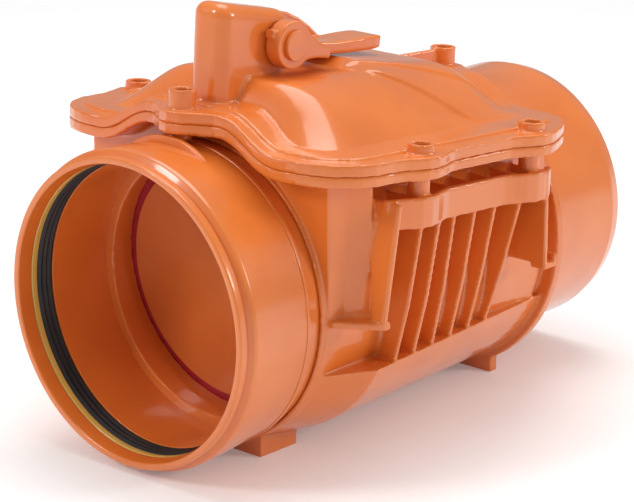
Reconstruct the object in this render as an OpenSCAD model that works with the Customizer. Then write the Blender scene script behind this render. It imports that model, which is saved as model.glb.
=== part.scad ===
// Backwater valve for buried drains: a flap hung under a domed cover lets water run from the
// inlet socket to the outlet spigot only, and a hand lever locks the flap shut.
// Millimetres. Origin on the pipe axis at the pipe stop, +X downstream, +Z up.

/* [Pipe connection] */
// Outside diameter of the drain pipe
pipe_d = 160; // [155:1:165]
// Radial play of the pipe in the inlet bore
pipe_play = 0.4; // [0.2:0.05:0.5]
// Depth of the inlet socket, mouth to pipe stop
socket_depth = 66; // [60:1:80]
// Wall of the inlet socket
socket_wall = 5.6; // [5:0.1:7]
// Extra radius at the socket mouth
mouth_flare = 3; // [2:0.1:4]
// Length of the thin front rim of the socket
rim_len = 5; // [3:0.5:7]
// Wall of the front rim
rim_wall = 4; // [3:0.1:5]
// Distance from the mouth to the seal groove
groove_start = 9; // [8:0.5:12]
// Length of the seal groove
groove_len = 15; // [13:0.5:18]
// Depth of the seal groove below the bore
groove_depth = 6.6; // [5:0.1:8]
// Wall outside the seal groove
groove_wall = 3; // [2:0.1:4]
// Height of the two bead rings behind the socket
bead_h = 2.2; // [1:0.1:3]
// Width of a bead ring
bead_w = 3; // [2:0.1:4]
// Bare neck between the bead rings
bead_gap = 8; // [5:0.5:12]
// Height of the crescent web on top of the socket
web_h = 5.5; // [3:0.5:6]
// Half width of the crescent web
web_half = 31; // [24:1:36]
// Thickness of the crescent web
web_t = 3; // [2:0.1:3.5]
// Wall of the outlet spigot
spigot_wall = 4; // [3:0.1:6]
// Length of the outlet spigot, its glued end included
spigot_len = 89; // [80:1:120]
// Extra radius of the spigot's root, where the next socket stops
root_step = 0.6; // [0.4:0.1:1]

/* [Inlet seal] */
// Length of the retaining ring in front of the lip seal
retainer_len = 4; // [3:0.1:5]
// Radial width of the retaining ring
retainer_w = 3.5; // [2.5:0.1:5]
// Number of sealing ridges on the lip seal
lip_count = 3; // [2:1:4]
// Height of a sealing ridge
lip_h = 1.6; // [0.8:0.1:2]

/* [Body] */
// Wall of the flap chamber
body_wall = 5; // [4:0.1:6]
// Room between the flap's edge and the chamber
flap_room = 4; // [3:0.1:6]
// Inside length of the chamber behind the pipe stop
chamber_len = 186; // [180:1:196]
// Thickness of the chamber's rear wall
rear_wall = 4; // [3:0.1:6]
// Depth of the glued socket for the spigot
spigot_hold = 13; // [10:0.5:16]
// Thickness of the rear collar disc
collar_t = 7; // [5:0.5:9]
// Height of the rear collar over the chamber
collar_rise = 6; // [4:0.5:8]
// Half width of the foot under the collar
foot_half = 46; // [36:1:56]
// Height of the feet below the socket barrel
foot_h = 1; // [0.5:0.5:3]
// Length of the front foot
foot_len = 30; // [20:1:40]
// Half width over the side frames
frame_half = 116; // [112:1:118]
// Thickness of the side frames and corner panels
frame_t = 4; // [3:0.1:5]
// Foot of the front leg behind the pipe stop
leg_front = 14; // [10:0.5:18]
// Lean of the front leg, foot forward
leg_lean = 11; // [8:0.5:14]
// Width of the front leg's face at its top
leg_w = 20; // [16:0.5:22]
// Width of the front leg's face at its foot
leg_foot_w = 10; // [8:0.5:14]
// Distance from the rear leg to the chamber's rear end
leg_rear_in = 30; // [26:1:34]
// Lower end of the legs above the pipe axis
leg_low = 0; // [-4:0.5:4]
// Length of the hooked foot under the rear leg
hook_len = 12; // [8:0.5:14]
// Number of ribs on each side
rib_count = 6; // [5:1:8]
// Thickness of a rib
rib_t = 3; // [2:0.1:4]
// Half width of the belly under the side frames, at its widest
belly_half = 106; // [103:0.5:108]
// Depth of the belly's upper edge below the pipe axis
belly_drop = 34; // [30:1:38]
// Gap between the body flange and the side frame's band
band_gap = 10; // [8:0.5:12]
// Height of the band at its front end
band_h = 17; // [14:0.5:20]

/* [Cover joint] */
// Slope of the cover towards the outlet
cover_tilt = 3.8; // [3:0.1:4.5]
// Height of the joint at the sides, over the pipe stop
joint_z = 82.5; // [81:0.1:86]
// Height of the hump that carries the joint over the pipes
hump_h = 15.5; // [14:0.1:17]
// Half width of the level top of the hump
hump_flat = 25; // [20:1:30]
// Width of each side slope of the hump
hump_slope = 40; // [34:1:46]
// Flat strips in each side slope
hump_steps = 8; // [6:1:12]
// Thickness of the cover flange
cover_flange_t = 6.5; // [5:0.1:8]
// Thickness of the body flange
body_flange_t = 6; // [5:0.1:8]
// Front edge of the flanges
flange_front = -18; // [-22:0.5:-14]
// Overhang of the flanges behind the rear wall
flange_over = 11; // [9:0.5:13]
// Set-in of the flanges, between their lobes, behind the side frames
flange_set_in = 4; // [2:0.5:6]
// Corner radius of the flanges
flange_r = 38; // [30:1:45]
// Distance from a screw's axis to the tip of its lobe
lobe_r = 12; // [10:0.5:14]
// Half length of a lobe along the flange edge
lobe_reach = 27; // [22:1:32]
// Distance from the flange edge to the step round the dome
step_in = 9; // [7:0.5:11]
// Height of the step round the dome
step_h = 1.8; // [1:0.1:2.5]
// Width of the gasket
gasket_w = 4; // [3:0.1:5]
// Depth of the gasket groove
gasket_h = 3; // [2:0.1:4]
// Distance from the chamber opening to the gasket
gasket_inset = 5; // [4:0.5:8]

/* [Cover screws] */
// Front boss, on the centre line
boss_front = -20; // [-24:0.5:-16]
// First pair of side bosses
boss_side_a = 54; // [44:1:64]
// Distance from the second pair of side bosses to the chamber's rear end
boss_rear_in = 35; // [30:1:42]
// Rear boss axis outside the rear flange edge, on the centre line
boss_out = 1; // [0:0.5:2]
// Set-in of the side bosses from the flange edge
boss_set_in = 5; // [4:0.5:7]
// Outside radius of a boss
boss_r = 7.6; // [7:0.1:8.5]
// Height of the front and rear bosses over the flange
boss_tall = 11; // [9:0.5:14]
// Height of the side bosses over the flange
boss_low = 5.5; // [4:0.5:8]
// Radius of a screw head
screw_head_r = 4.6; // [4:0.1:5]
// Height of a screw head
screw_head_h = 3.2; // [2.5:0.1:4]
// Depth of the screw seats below the top of the cover flange
head_sink = 3; // [2:0.5:4]
// Radius of a screw shank
screw_r = 2.5; // [2:0.1:3]
// Washer thickness
washer_t = 1; // [0.6:0.1:1.5]
// Reach of the side screws below the joint
reach_side = 15; // [12:0.5:16]
// Reach of the front screw below the joint
reach_front = 9; // [7:0.5:9.5]
// Reach of the rear screw below the joint
reach_back = 3.5; // [3:0.1:3.8]
// Radius of the screw posts under the body flange
post_r = 6; // [5:0.1:7]

/* [Dome] */
// Front end of the dome's base
dome_front = 5; // [4:0.5:7]
// Distance from the rear end of the dome's base to the chamber's rear end
dome_rear_in = 2; // [0:0.5:4]
// Half width of the dome's base
dome_half = 86; // [85:0.5:89]
// Corner radius of the dome's base
dome_r = 46; // [40:1:52]
// Height of the dome's top over the side flanges
dome_h = 30; // [29:0.5:33]
// Horizontal reach of the rounded shoulder at the sides and the rear
dome_shoulder = 45; // [36:1:52]
// Horizontal reach of the steeper shoulder at the front
dome_front_r = 14; // [10:1:18]
// Wall of the dome
dome_wall = 3.5; // [3:0.1:4]
// Number of raised fan ridges at the outlet end
fan_count = 4; // [3:1:5]
// Height of the fan ridges
fan_h = 2; // [1:0.1:2.4]

/* [Tower and lever] */
// Front face of the lever tower
tower_front = -4; // [-5:0.5:-2]
// Half width of the tower
tower_half = 13; // [12.5:0.1:14]
// Room over the bolt's head in the tower
head_room = 4; // [1:0.5:5]
// Room behind the lever shafts in the tower
shaft_room = 1; // [0.5:0.1:2]
// Radius of the tower's upright edges
tower_edge_r = 9; // [6:0.5:10]
// Radius of the tower's roof edges
tower_roof_r = 10; // [7:0.5:11]
// Radius of the tower's top corners
tower_corner_r = 11; // [8:0.5:12]
// Wall of the tower
tower_wall = 3.5; // [3:0.1:3.6]
// Lever axis behind the pipe stop, along the cover
pivot_x = 42.5; // [42:0.1:43]
// Gap between the lever's eyes and the dome's top
lever_clear = 3.5; // [3:0.1:5]
// Radius of the lever shafts
shaft_r = 6; // [5:0.1:6.5]
// Running play of shafts and pins
run_play = 0.06; // [0.03:0.01:0.1]
// Throw of the crank pins
crank_throw = 10; // [9:0.1:10.5]
// Radius of a crank pin
crank_pin_r = 3; // [2.5:0.1:3.2]
// Side of the square shaft ends in the lever
square_side = 8; // [7:0.1:8.2]
// Radius of the lever's eyes
eye_r = 13.5; // [12:0.1:14]
// Thickness of a lever eye
eye_t = 9.5; // [8:0.5:11]
// Gap between a lever eye and the tower's boss
eye_gap = 0.5; // [0.3:0.1:1]
// Length of the lever, axis to tip
lever_len = 90; // [84:1:100]
// Slope of the lever's centre line at rest
lever_rest = 9; // [7:0.5:10]
// Half width of the handle
handle_half = 11.5; // [9:0.5:14]
// Thickness of the handle
handle_t = 8; // [6:0.5:9]
// Thickness of the lever at its waist
waist_t = 5.2; // [4:0.1:6.5]
// Place of the waist along the lever, as a share of its length
lever_waist = 0.42; // [0.4:0.01:0.46]
// Upward curve of the handle at its tip
tip_rise = 6; // [3:0.5:9]
// Radius of the round caps on the lever's eyes
cap_r = 8.5; // [7.5:0.1:10]
// Thickness of the caps
cap_t = 2.5; // [1.5:0.1:4]

/* [Locking bolt] */
// Thickness of the bolt along the pipe
bolt_t = 5; // [4:0.1:5.4]
// Half width of the bolt's blade
bolt_half = 8; // [7:0.1:8.4]
// Gap between the lowered bolt and the flap's stop face
stop_gap = 1.2; // [0.8:0.1:1.6]
// Half thickness of the bolt's slotted head
head_half = 4.5; // [3.5:0.1:4.6]
// Front face of the bolt along the cover
bolt_x = 26.7; // [26.4:0.1:27]
// Lower end of the bolt over the joint, when raised
bolt_low = 3.6; // [3.4:0.1:4.5]
// Play of the bolt in its guide
bolt_play = 0.25; // [0.15:0.05:0.4]
// Play of a crank pin in the bolt's slot
slot_play = 0.45; // [0.4:0.05:0.6]

/* [Flap] */
// Overlap of the flap over the seat opening
flap_lap = 4; // [3:0.1:5]
// Pipe wall hidden by the seat opening
seat_step = 5; // [4:0.1:6]
// Seat plane behind the pipe stop, on the pipe axis
seat_x = 16; // [15.5:0.1:17]
// Lean of the closed flap, foot downstream
flap_tilt = 5; // [4:0.1:6]
// Hinge axis behind the pipe stop
hinge_x = 21.5; // [21:0.1:21.8]
// Hinge axis over the pipe
hinge_rise = 17; // [16.6:0.1:17.4]
// Radius of the hinge pin
hinge_pin_r = 3.5; // [2.5:0.1:3.6]
// Wall of a hinge bush
bush_wall = 1.5; // [1:0.1:1.6]
// Radius of the flap's hinge eyes
hub_r = 7; // [6.8:0.1:7.2]
// Inner side of each hinge arm
arm_in = 20; // [18:0.5:22]
// Width of a hinge arm
arm_w = 12; // [9:0.5:13]
// Thickness of the flap disc
disc_t = 6; // [5:0.1:6.5]
// Height of the ribs on the flap's back
disc_rib_h = 4; // [2:0.1:5]
// Thickness of the flap's rubber seal
flap_seal_t = 3; // [2:0.1:3.5]
// Width of the seal ring that shows inside the seat
seal_show = 5.5; // [4:0.1:7]
// Thickness of the front clamp plate over the seal
clamp_t = 2.5; // [2:0.1:3]
// Width of the seal that the clamp plate holds
clamp_lap = 3.5; // [2.5:0.1:5]
// Gap between the closed seal and the seat
seat_gap = 0.1; // [0.05:0.01:0.3]
// Number of flap screws
flap_screw_count = 6; // [4:1:8]

/* [Hidden] */
$fn = 64;
hull_fn = 32;
fit_gap = 0.2;
thin = 0.02;
pipe_r = pipe_d / 2;
bore_r = pipe_r + pipe_play;
mouth_r = pipe_r + mouth_flare;
barrel_r = bore_r + socket_wall;
neck_r = barrel_r - 1;
groove_r = bore_r + groove_depth;
groove_x = groove_start - socket_depth;
shoulder_r = groove_r + groove_wall;
bead_r = neck_r + bead_h;
register_len = bead_w;
seat_r = pipe_r - seat_step;
flap_r = seat_r + flap_lap;
chamber_r = flap_r + flap_room;
body_r = chamber_r + body_wall;
rear_x = chamber_len + rear_wall;
leg_rear = chamber_len - leg_rear_in;
flange_back = rear_x + flange_over;
flange_half = frame_half - flange_set_in;
boss_side_b = chamber_len - boss_rear_in;
boss_back = flange_back + boss_out;
boss_half = flange_half - boss_set_in;
dome_back = chamber_len - dome_rear_in;
spigot_r = pipe_r - spigot_wall;
root_r = pipe_r + root_step;
root_end = boss_back + lobe_r + 1.2;
collar_r = body_r + collar_rise;
collar_x = rear_x + spigot_hold - collar_t;
body_end = rear_x + spigot_hold;
floor_z = -shoulder_r - foot_h;
hinge_z = pipe_r + hinge_rise;
opening_front = dome_front + dome_wall;
opening_back = dome_back - dome_wall;
opening_half = dome_half - dome_wall;
opening_r = dome_r - dome_wall;
bosses = [
    [boss_front, 0, boss_tall, reach_front],
    [boss_side_a, -boss_half, boss_low, reach_side],
    [boss_side_a, boss_half, boss_low, reach_side],
    [boss_side_b, -boss_half, boss_low, reach_side],
    [boss_side_b, boss_half, boss_low, reach_side],
    [boss_back, 0, boss_tall, reach_back]
];
pivot_w = cover_flange_t + dome_h + eye_r + lever_clear;
tower_back = pivot_x + shaft_r + shaft_room + tower_wall;
boss_rim = 1;
eye_in = tower_half + boss_rim + eye_gap;
eye_out = eye_in + eye_t;
crank_t = 4;
crank_in = head_half + 0.5;
crank_turn = 45;
pin_rise = crank_throw * sin(crank_turn);
pin_back = crank_throw * cos(crank_turn);
bolt_travel = 2 * pin_rise;
slot_half = crank_pin_r + slot_play;
head_wall = 4;
head_top = pivot_w + pin_rise + slot_half + head_wall;
head_foot = pivot_w + pin_rise - slot_half - head_wall;
tower_top = head_top + head_room + tower_wall;
guide_top = head_foot - bolt_travel - 1;
guide_h = 10;
blade_top = pivot_w - shaft_r - 1;
bolt_front = bolt_x * cos(cover_tilt) + (bolt_low - bolt_travel) * sin(cover_tilt);
seat_v = seat_x - hinge_x;
seat_normal = seat_v * cos(flap_tilt) - hinge_z * sin(flap_tilt);
seat_drop = seat_v * sin(flap_tilt) + hinge_z * cos(flap_tilt);
seal_front = seat_normal + seat_gap;
disc_front = seal_front + flap_seal_t;
disc_back = disc_front + disc_t;
stop_v = (bolt_front - stop_gap - hinge_x) * cos(flap_tilt) - (seat_drop - flap_r + 8) * sin(flap_tilt);
stop_h = 7;
stop_root = 20;
plate_r = seat_r - seal_show;
seal_in_r = plate_r - clamp_lap;
lug_in = arm_in + arm_w + 2.5;
lug_t = 8;
pin_end = lug_in + lug_t + 3.5;
orange = [0.88, 0.45, 0.2];

// Turn a profile drawn as [along X, radius] round the pipe axis
module pipe_turn() {
    rotate([0, 90, 0]) rotate_extrude($fn = 96) rotate(90) mirror([0, 1]) children();
}

// Round bar along X between two stations
module bar_x(x0, x1, r) {
    translate([x0, 0, 0]) rotate([0, 90, 0]) cylinder(h = x1 - x0, r = r, $fn = 96);
}

// Round bar along Y between two stations
module bar_y(y0, y1, r) {
    translate([0, y1, 0]) rotate([90, 0, 0]) cylinder(h = y1 - y0, r = r);
}

// Profile drawn as [X, Z], pulled along Y between two stations
module side_slab(y0, y1) {
    translate([0, y1, 0]) rotate([90, 0, 0]) linear_extrude(y1 - y0) children();
}

// Frame of the sloping cover joint
module cover_frame() {
    translate([0, 0, joint_z]) rotate([0, cover_tilt, 0]) children();
}

// Frame of the closed flap, with its hinge axis at the origin
module flap_frame() {
    translate([hinge_x, 0, hinge_z]) rotate([0, -flap_tilt, 0]) children();
}

// Plan outline with four round corners
module round_plan(x0, x1, half, r) {
    translate([x0 + r, -half]) square([x1 - x0 - 2 * r, 2 * half]);
    translate([x0, r - half]) square([x1 - x0, 2 * (half - r)]);
    for (x = [x0 + r, x1 - r], y = [r - half, half - r]) translate([x, y]) circle(r);
}

// Height of the joint surface across the cover
function wave(y) =
    abs(y) <= hump_flat ? hump_h :
    abs(y) >= hump_flat + hump_slope ? 0 :
    hump_h * (1 + cos(180 * (abs(y) - hump_flat) / hump_slope)) / 2;
wave_side = [for (i = [0:hump_steps]) hump_flat + hump_slope * i / hump_steps];
wave_reach = frame_half + lobe_r;
wave_ys = concat([-wave_reach], [for (i = [hump_steps:-1:0]) -wave_side[i]], wave_side, [wave_reach]);

// Wavy layer between two heights over the joint surface
module wave_layer(low, high) {
    last = len(wave_ys) - 1;
    top = [for (y = wave_ys) [y, wave(y) + high]];
    under = [for (i = [last:-1:0]) [wave_ys[i], wave(wave_ys[i]) + low]];
    length = boss_back - boss_front + 4 * lobe_r;
    translate([boss_front - 2 * lobe_r, 0, 0]) rotate([90, 0, 90])
        linear_extrude(length) polygon(concat(top, under));
}

// Outward swell of the flange edge at a distance from a screw
function swell(d, out) = d >= lobe_reach ? 0 : out * (1 + cos(180 * d / lobe_reach)) / 2;
lobe_side = boss_half + lobe_r - flange_half;
lobe_marks = [
    [flange_front, 0, flange_front - boss_front + lobe_r],
    [boss_side_a, -flange_half, lobe_side],
    [boss_side_a, flange_half, lobe_side],
    [boss_side_b, -flange_half, lobe_side],
    [boss_side_b, flange_half, lobe_side],
    [flange_back, 0, boss_back + lobe_r - flange_back]
];
function edge_out(p) = max([for (m = lobe_marks) swell(norm([p.x - m.x, p.y - m.y]), m.z)]);

// Flange edge without its lobes, as [x, y, direction it faces], in short steps round corners and sides
corner_steps = 8;
side_steps = 20;
function corner_mid(q) = [
    q == 0 || q == 3 ? flange_back - flange_r : flange_front + flange_r,
    (q < 2 ? 1 : -1) * (flange_half - flange_r)
];
edge_base = [for (q = [0:3], i = [0:corner_steps + side_steps - 1])
    let (
        a = 90 * (q + min(i, corner_steps) / corner_steps),
        run = max(i - corner_steps, 0) / side_steps,
        mid = corner_mid(q) * (1 - run) + corner_mid((q + 1) % 4) * run
    ) [mid.x + flange_r * cos(a), mid.y + flange_r * sin(a), a]
];

// Flange edge with a lobe at each screw, drawn in by the given inset
function edge_ring(inset) = [for (p = edge_base)
    let (out = edge_out(p) - inset) [p.x + out * cos(p.z), p.y + out * sin(p.z)]
];

// Outline of both flanges
module flange_plan() {
    polygon(edge_ring(0));
}

// Flange between two heights over the joint surface
module flange(low, high) {
    intersection() {
        wave_layer(low, high);
        translate([0, 0, -2 * hump_h]) linear_extrude(4 * hump_h) flange_plan();
    }
}

// Ring-shaped run of the gasket, grown by the given play
module gasket_run(play) {
    inner = gasket_inset - play;
    outer = gasket_inset + gasket_w + play;
    intersection() {
        wave_layer(-gasket_h, 0);
        translate([0, 0, -2 * hump_h]) linear_extrude(4 * hump_h) difference() {
            round_plan(opening_front - outer, opening_back + outer, opening_half + outer, opening_r + outer);
            round_plan(opening_front - inner, opening_back + inner, opening_half + inner, opening_r + inner);
        }
    }
}

// Inlet socket: moulded pipe socket with a seal groove behind its mouth and two bead rings
module inlet_socket() {
    color(orange) union() {
        socket_turn();
        crescent_web();
    }
}

// Crescent web on top of the socket, in front of the first cover screw
module crescent_web() {
    base_r = barrel_r + 1;
    top = base_r + web_h;
    side_z = sqrt(base_r * base_r - web_half * web_half);
    mid_z = (top * top - base_r * base_r) / (2 * (top - side_z));
    back = boss_front - post_r - 1.5;
    difference() {
        translate([0, 0, mid_z]) bar_x(back - web_t, back, top - mid_z);
        bar_x(back - web_t - 1, back + 1, neck_r);
    }
}

// Turned form of the socket
module socket_turn() {
    groove_end = groove_x + groove_len;
    bead_back = -bead_gap - register_len;
    pipe_turn() difference() {
        polygon([
            [-socket_depth, mouth_r],
            [-socket_depth, mouth_r + rim_wall],
            [rim_len - socket_depth, mouth_r + rim_wall],
            [rim_len - socket_depth, mouth_r + rim_wall - 1],
            [rim_len + 1 - socket_depth, mouth_r + rim_wall - 1],
            [groove_x - 1, shoulder_r - 0.6],
            [groove_x, shoulder_r],
            [groove_end, shoulder_r - 0.8],
            [bead_back - bead_w, barrel_r + 0.5],
            [bead_back - bead_w, bead_r],
            [bead_back, bead_r],
            [bead_back, neck_r],
            [0, neck_r],
            [0, bore_r],
            [groove_x, bore_r],
            [groove_x, pipe_r + mouth_flare / 2]
        ]);
        translate([groove_x, 0]) square([groove_len, groove_r]);
    }
}

// Lip seal: rubber ring in the groove with ridges that press on the pipe
module inlet_lip_seal() {
    x0 = groove_x + retainer_len + fit_gap;
    x1 = groove_x + groove_len - fit_gap;
    base_r = bore_r + lip_h;
    pitch = (x1 - x0) / lip_count;
    color([0.08, 0.08, 0.09]) pipe_turn() {
        translate([x0, base_r]) square([x1 - x0, groove_r - fit_gap - base_r]);
        for (i = [0:lip_count - 1])
            polygon([
                [x0 + i * pitch, base_r + thin],
                [x0 + (i + 0.55) * pitch, bore_r + 0.1],
                [x0 + (i + 0.8) * pitch, bore_r + 0.1],
                [x0 + (i + 0.95) * pitch, base_r + thin]
            ]);
    }
}

// Retaining ring: hard plastic ring that keeps the lip seal in its groove
module seal_retaining_ring() {
    color([0.8, 0.66, 0.3]) pipe_turn()
        translate([groove_x + fit_gap, groove_r - fit_gap - retainer_w]) square([retainer_len, retainer_w]);
}

// Height of the side frame's band at a place along the pipe
function band_top(x) = joint_z - x * sin(cover_tilt) - body_flange_t - band_gap;
band_in = flange_half + lobe_side - frame_half;
leg_top_x = leg_front + (band_top(leg_front) - leg_low) * tan(leg_lean);
panel_x = (leg_front + leg_top_x + frame_t) / 2;
hook_t = 3;

// Half width of the belly at a place along the pipe, and at its upper edge
belly_x = leg_top_x + frame_t;
belly_low = body_r + 1;
function belly_at(x) = belly_half + (belly_low - belly_half) * (x - belly_x) / (collar_x - belly_x);
function belly_edge(x) = belly_at(x) * sqrt(1 - pow(belly_drop / belly_low, 2));

// Oval ring of the belly across the pipe, drawn in by the given wall
module belly_ring(x, half, low, wall) {
    translate([x, 0, 0]) rotate([90, 0, 90]) linear_extrude(thin)
        scale([(half - wall) / (low - wall), 1]) circle(low - wall);
}

// Belly: oval lower body that widens behind the socket and narrows to the collar
module belly_form(wall) {
    intersection() {
        hull() {
            belly_ring(wall * 2, bead_r, bead_r, wall);
            belly_ring(belly_x, belly_half, belly_low, wall);
            belly_ring(collar_x, belly_low, belly_low, wall);
        }
        translate([wall * 2, -frame_half, -2 * body_r]) cube([
            (wall > 0 ? chamber_len : collar_x) - wall * 2,
            2 * frame_half,
            2 * body_r - belly_drop - wall
        ]);
    }
}

// One side rib, as an outline across the pipe from the band down to the belly
module rib_outline(out, edge, top) {
    polygon([
        [-out, top],
        [-out, top - band_h],
        [-(out + edge) / 2, leg_low],
        [1 - edge, -belly_drop - 1],
        [-body_r * 0.88, -belly_drop - 1],
        [3 - body_r, leg_low],
        [3 - body_r, top]
    ]);
}

// Side frame on one side: band below the flange, two legs, corner panel, feet and ribs
module side_frame() {
    first = leg_top_x + frame_t;
    pitch = (leg_rear - first) / (rib_count + 1);
    for (i = [1:rib_count]) {
        x = first + i * pitch;
        out = flange_half + edge_out([x, -flange_half]) - band_in - frame_t / 2;
        translate([x - rib_t / 2, 0, 0]) rotate([90, 0, 90]) linear_extrude(rib_t)
            rib_outline(out, belly_edge(x), band_top(x) - 1);
    }
    cover_frame() translate([0, 0, -body_flange_t - band_gap - band_h]) linear_extrude(band_h) side_band();
    front_leg();
    rear_leg();
    intersection() {
        translate([0, 0, leg_low - frame_t]) linear_extrude(joint_z - leg_low) corner_panel();
        cover_frame() wave_layer(-3 * joint_z, -1);
    }
}

// Plan of the band, which follows the flange edge from the front leg to the rear leg
module side_band() {
    intersection() {
        difference() {
            polygon(edge_ring(band_in));
            polygon(edge_ring(band_in + frame_t));
        }
        translate([leg_top_x, -2 * frame_half]) square([leg_rear + hook_len - leg_top_x, 2 * frame_half]);
    }
}

// Front leg: leaning plate across the frame, with a rounded shelf from its foot to the bead ring
module front_leg() {
    rise = (band_top(leg_top_x) - leg_low) / cos(leg_lean);
    translate([leg_front, 0, leg_low - 1]) rotate([0, leg_lean, 0]) rotate([90, 0, 90])
        linear_extrude(frame_t) polygon([
        [0.5 - frame_half, 0],
        [0.5 - frame_half, rise],
        [leg_w - frame_half, rise],
        [leg_foot_w - frame_half, 0]
    ]);
    translate([0, 0, leg_low - frame_t]) linear_extrude(frame_t) hull() {
        translate([leg_front + frame_t, frame_t - frame_half]) circle(frame_t);
        translate([0, -body_r - frame_t]) square([1, 2 * frame_t]);
        translate([panel_x, -body_r]) square([frame_t, frame_t]);
    }
}

// Rear leg: upright web from the body to the frame, with a hooked foot
module rear_leg() {
    translate([leg_rear, 1 - frame_half, leg_low])
        cube([hook_t, frame_half - body_r + 1, band_top(leg_rear) - leg_low - 1]);
    translate([leg_rear, 1 - frame_half, leg_low - hook_t]) cube([hook_len, leg_foot_w, hook_t + 0.5]);
    translate([leg_rear + hook_len - hook_t, 1 - frame_half, leg_low - 1]) cube([hook_t, leg_foot_w, 2 * hook_t]);
}

// Plan of the panel behind the front leg's face, from the bead ring to the leg
module corner_panel() {
    far = (leg_w + leg_foot_w) / 2 - frame_half;
    polygon([
        [0, 2 - body_r],
        [0, -body_r - 1],
        [panel_x * 0.45, -body_r - frame_t],
        [panel_x, far],
        [panel_x + frame_t, far + frame_t],
        [panel_x * 0.6, 1 - body_r]
    ]);
}

// Solid chamber block: round below, straight-sided above, up to the body flange
module chamber_block() {
    intersection() {
        union() {
            bar_x(0, rear_x, body_r);
            translate([0, -body_r, 0]) cube([rear_x, 2 * body_r, joint_z + 2 * hump_h]);
        }
        cover_frame() wave_layer(-3 * joint_z, -1);
    }
}

// Inside of the flap chamber, from the leaning seat wall to the rear wall
module chamber_room() {
    lean = tan(flap_tilt);
    intersection() {
        union() {
            bar_x(0, chamber_len, chamber_r);
            translate([0, -chamber_r, 0]) cube([chamber_len, 2 * chamber_r, hinge_z - hump_h]);
        }
        side_slab(-body_r, body_r) polygon([
            [seat_x + body_r * lean, -body_r],
            [chamber_len, -body_r],
            [chamber_len, 2 * joint_z],
            [seat_x - joint_z * lean * 0.9, 2 * joint_z],
            [seat_x - joint_z * lean * 0.9, joint_z * 0.9]
        ]);
        cover_frame() wave_layer(-3 * joint_z, -body_flange_t);
    }
}

// Valve body: flap chamber with the leaning seat, wavy top flange, side frames, collar and foot
module valve_body() {
    color(orange) difference() {
        union() {
            chamber_block();
            belly_form(0);
            cover_frame() flange(-body_flange_t, 0);
            bar_x(-register_len, 0.5, bead_r);
            intersection() {
                union() {
                    bar_x(rear_x - 1, body_end, neck_r);
                    bar_x(collar_x, body_end, collar_r);
                }
                cover_frame() wave_layer(-3 * joint_z, -1);
                translate([0, -2 * collar_r, floor_z]) cube([2 * body_end, 4 * collar_r, 4 * collar_r]);
            }
            translate([collar_x, -foot_half, floor_z])
                cube([collar_t, 2 * foot_half, -floor_z - body_r * 0.6]);
            translate([0, -foot_half * 0.85, floor_z])
                cube([foot_len, 1.7 * foot_half, -floor_z - body_r * 0.85]);
            for (m = [0, 1]) mirror([0, m, 0]) side_frame();
            screw_posts();
        }
        bar_x(-register_len - 1, 0, neck_r + fit_gap);
        bar_x(-1, chamber_len, seat_r);
        chamber_room();
        intersection() {
            belly_form(body_wall);
            translate([belly_x, -frame_half, -2 * body_r]) cube([chamber_len, 2 * frame_half, 2 * body_r]);
        }
        cover_frame() translate([0, 0, -body_flange_t - hump_h]) linear_extrude(3 * hump_h)
            round_plan(opening_front, opening_back, opening_half, opening_r);
        bar_x(chamber_len - 1, body_end, spigot_r);
        bar_x(rear_x, body_end + 3 * lobe_r, root_r + fit_gap);
        cover_frame() gasket_run(fit_gap);
        screw_holes(screw_r + fit_gap / 2, false);
    }
}

// Posts under the body flange that take the front and side screws
module screw_posts() {
    for (b = bosses) if (b[3] > body_flange_t)
        cover_frame() translate([b.x, b.y, wave(b.y) - b[3] - 1.5])
            cylinder(h = b[3] + 1, r = post_r);
}

// Holes at all cover screws: clear above the joint, or closely fitted below it
module screw_holes(r, above) {
    for (b = bosses) cover_frame()
        translate([b.x, b.y, wave(b.y) - (above ? 1 : b[3] + 0.5)])
            cylinder(h = above ? cover_flange_t + 2 : b[3] + 1.5, r = r);
}

// Outlet spigot: plain pipe end glued into the rear of the body
module outlet_spigot() {
    x0 = rear_x;
    x1 = rear_x + spigot_len;
    color(orange) pipe_turn() polygon([
        [x0, spigot_r],
        [x0, root_r],
        [root_end, root_r],
        [root_end, pipe_r],
        [x1 - 9, pipe_r],
        [x1, pipe_r - 2.4],
        [x1, spigot_r]
    ]);
}

// Smooth dome over the flap, drawn in by the given wall
module dome_form(wall) {
    rings = 7;
    hull() for (i = [0:rings]) {
        turn = 90 * i / rings;
        front_in = dome_front_r * (1 - cos(turn)) + wall;
        inset = dome_shoulder * (1 - cos(turn)) + wall;
        rise = cover_flange_t + (dome_h - wall) * sin(turn);
        r = max(dome_r - inset, 4);
        for (x = [dome_front + front_in + r, dome_back - inset - r], y = [-1, 1])
            translate([x, y * (dome_half - inset - r), rise - thin]) cylinder(h = thin, r = r, $fn = hull_fn);
    }
}

// Step round the dome, set in from the flange edge
module flange_step() {
    intersection() {
        wave_layer(cover_flange_t - 1, cover_flange_t + step_h);
        translate([0, 0, -2 * hump_h]) linear_extrude(5 * hump_h)
            round_plan(flange_front + step_in, flange_back - step_in, flange_half - step_in, flange_r - step_in);
    }
}

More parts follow.
